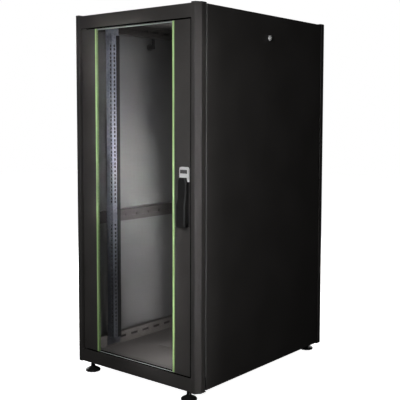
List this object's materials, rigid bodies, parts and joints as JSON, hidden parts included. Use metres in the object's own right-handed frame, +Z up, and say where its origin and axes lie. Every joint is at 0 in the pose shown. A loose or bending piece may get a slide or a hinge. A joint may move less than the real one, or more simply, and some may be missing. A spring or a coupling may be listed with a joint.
{
  "type": "network server rack cabinet",
  "caption": "Free-standing 19-inch network rack cabinet with a tinted glass front door, steel rear door, lift-off side panels, depth-adjustable rails and levelling feet.",
  "frame": {"origin": "on the floor under the middle of the cabinet", "axes": "+Z up, the glass door faces -Y, +X is to the right seen from the front"},
  "size_m": [0.6032, 0.83, 1.326],
  "materials": {
    "frame_black": "fine satin powder coat",
    "panel_black": "fine satin powder coat",
    "door_black": "fine satin powder coat",
    "floor_black": "satin powder coat",
    "cap_black": "satin moulded plastic",
    "tinted_glass": "clear toughened glass with a grey tint",
    "trim_green": "satin green coating",
    "rail_zinc": "blue zinc plating",
    "zinc": "zinc plating",
    "bushing": "moulded plastic",
    "lock_bright": "polished",
    "cover_bright": "satin chrome",
    "handle_black": "satin glass-filled plastic",
    "foot_black": "black plating",
    "brush_black": "nylon bristle"
  },
  "bodies": {
    "frame": {"bottom_member_left": "frame_black", "bottom_member_right": "frame_black", "bottom_rail_front": "frame_black", "bottom_rail_rear": "frame_black", "door_stops": "frame_black", "floor_panel": "floor_black", "foot_lock_nuts": "zinc", "frame_bolts": "zinc", "hinge_bushes": "bushing", "mid_member_left": "frame_black", "mid_member_right": "frame_black", "post_end_caps": "cap_black", "post_front_left": "frame_black", "post_front_right": "frame_black", "post_rear_left": "frame_black", "post_rear_right": "frame_black", "roof_brush": "brush_black", "roof_fan_cover": "panel_black", "roof_panel": "panel_black", "top_member_left": "frame_black", "top_member_right": "frame_black", "top_rail_front": "frame_black", "top_rail_rear": "frame_black"},
    "floor_cover": {"floor_cable_cover": "floor_black"},
    "front_rails": {"rack_rail_front_left": "rail_zinc", "rack_rail_front_right": "rail_zinc", "rail_fixings_front": "rail_zinc"},
    "rear_rails": {"rack_rail_rear_left": "rail_zinc", "rack_rail_rear_right": "rail_zinc", "rail_fixings_rear": "rail_zinc"},
    "front_door": {"door_stile_left": "door_black", "door_stile_right": "door_black", "door_glass": "tinted_glass", "door_trims": "trim_green", "front_hinge_pins": "zinc", "front_handle_base": "handle_black"},
    "rear_door": {"rear_door_panel": "panel_black", "rear_door_stiffeners": "frame_black", "rear_hinge_pins": "zinc", "rear_handle_base": "handle_black"},
    "side_panel_left": {"side_panel_left": "panel_black", "side_lock_case_left": "lock_bright"},
    "side_lock_left": {"side_lock_plug_left": "lock_bright"},
    "side_panel_right": {"side_panel_right": "panel_black", "side_lock_case_right": "lock_bright"},
    "side_lock_right": {"side_lock_plug_right": "lock_bright"},
    "foot_front_left": {"foot_front_left": "foot_black"},
    "foot_front_right": {"foot_front_right": "foot_black"},
    "foot_rear_left": {"foot_rear_left": "foot_black"},
    "foot_rear_right": {"foot_rear_right": "foot_black"},
    "front_hub": {"front_handle_hub": "zinc", "front_latch_tongue": "zinc"},
    "front_grip": {"front_handle_grip": "handle_black"},
    "front_lock_cover": {"front_lock_cover": "cover_bright"},
    "front_lock_plug": {"front_lock_plug": "lock_bright"},
    "rear_hub": {"rear_handle_hub": "zinc", "rear_latch_tongue": "zinc"},
    "rear_grip": {"rear_handle_grip": "handle_black"},
    "rear_lock_cover": {"rear_lock_cover": "cover_bright"},
    "rear_lock_plug": {"rear_lock_plug": "lock_bright"}
  },
  "joints": [
    {"name": "front_door_swing", "type": "hinge", "parent": "frame", "child": "front_door", "pos_m": [-0.255, -0.386, 0.68], "axis": [0, 0, -1], "range_deg": [0, 105]},
    {"name": "front_handle_turn", "type": "hinge", "parent": "front_door", "child": "front_hub", "pos_m": [0.239, -0.4, 0.612], "axis": [0, -1, 0], "range_deg": [0, 90]},
    {"name": "front_handle_lift", "type": "hinge", "parent": "front_hub", "child": "front_grip", "pos_m": [0.239, -0.409, 0.612], "axis": [1, 0, 0], "range_deg": [0, 35]},
    {"name": "front_lock_cover_slide", "type": "slide", "parent": "front_door", "child": "front_lock_cover", "axis": [0, 0, 1], "range_m": [0, 0.03]},
    {"name": "front_key_turn", "type": "hinge", "parent": "front_door", "child": "front_lock_plug", "pos_m": [0.239, -0.39, 0.764], "axis": [0, -1, 0], "range_deg": [0, 90]},
    {"name": "rear_door_swing", "type": "hinge", "parent": "frame", "child": "rear_door", "pos_m": [0.255, 0.386, 0.68], "axis": [0, 0, -1], "range_deg": [0, 105]},
    {"name": "rear_handle_turn", "type": "hinge", "parent": "rear_door", "child": "rear_hub", "pos_m": [-0.239, 0.4, 0.612], "axis": [0, 1, 0], "range_deg": [0, 90]},
    {"name": "rear_handle_lift", "type": "hinge", "parent": "rear_hub", "child": "rear_grip", "pos_m": [-0.239, 0.409, 0.612], "axis": [-1, 0, 0], "range_deg": [0, 35]},
    {"name": "rear_lock_cover_slide", "type": "slide", "parent": "rear_door", "child": "rear_lock_cover", "axis": [0, 0, 1], "range_m": [0, 0.03]},
    {"name": "rear_key_turn", "type": "hinge", "parent": "rear_door", "child": "rear_lock_plug", "pos_m": [-0.239, 0.39, 0.764], "axis": [0, 1, 0], "range_deg": [0, 90]},
    {"name": "side_panel_right_tilt", "type": "hinge", "parent": "frame", "child": "side_panel_right", "pos_m": [0.2988, 0, 0.0412], "axis": [0, 1, 0], "range_deg": [0, 15]},
    {"name": "side_lock_right_turn", "type": "hinge", "parent": "side_panel_right", "child": "side_lock_right", "pos_m": [0.29, 0, 1.24], "axis": [1, 0, 0], "range_deg": [0, 90]},
    {"name": "side_panel_left_tilt", "type": "hinge", "parent": "frame", "child": "side_panel_left", "pos_m": [-0.2988, 0, 0.0412], "axis": [0, -1, 0], "range_deg": [0, 15]},
    {"name": "side_lock_left_turn", "type": "hinge", "parent": "side_panel_left", "child": "side_lock_left", "pos_m": [-0.29, 0, 1.24], "axis": [1, 0, 0], "range_deg": [0, 90]},
    {"name": "foot_front_left_height", "type": "slide", "parent": "frame", "child": "foot_front_left", "axis": [0, 0, 1], "range_m": [-0.015, 0]},
    {"name": "foot_front_right_height", "type": "slide", "parent": "frame", "child": "foot_front_right", "axis": [0, 0, 1], "range_m": [-0.015, 0]},
    {"name": "foot_rear_left_height", "type": "slide", "parent": "frame", "child": "foot_rear_left", "axis": [0, 0, 1], "range_m": [-0.015, 0]},
    {"name": "foot_rear_right_height", "type": "slide", "parent": "frame", "child": "foot_rear_right", "axis": [0, 0, 1], "range_m": [-0.015, 0]},
    {"name": "floor_cover_slide", "type": "slide", "parent": "frame", "child": "floor_cover", "axis": [0, 1, 0], "range_m": [-0.18, 0]},
    {"name": "front_rails_depth", "type": "slide", "parent": "frame", "child": "front_rails", "axis": [0, 1, 0], "range_m": [0, 0.1]},
    {"name": "rear_rails_depth", "type": "slide", "parent": "frame", "child": "rear_rails", "axis": [0, 1, 0], "range_m": [-0.1, 0]}
  ]
}
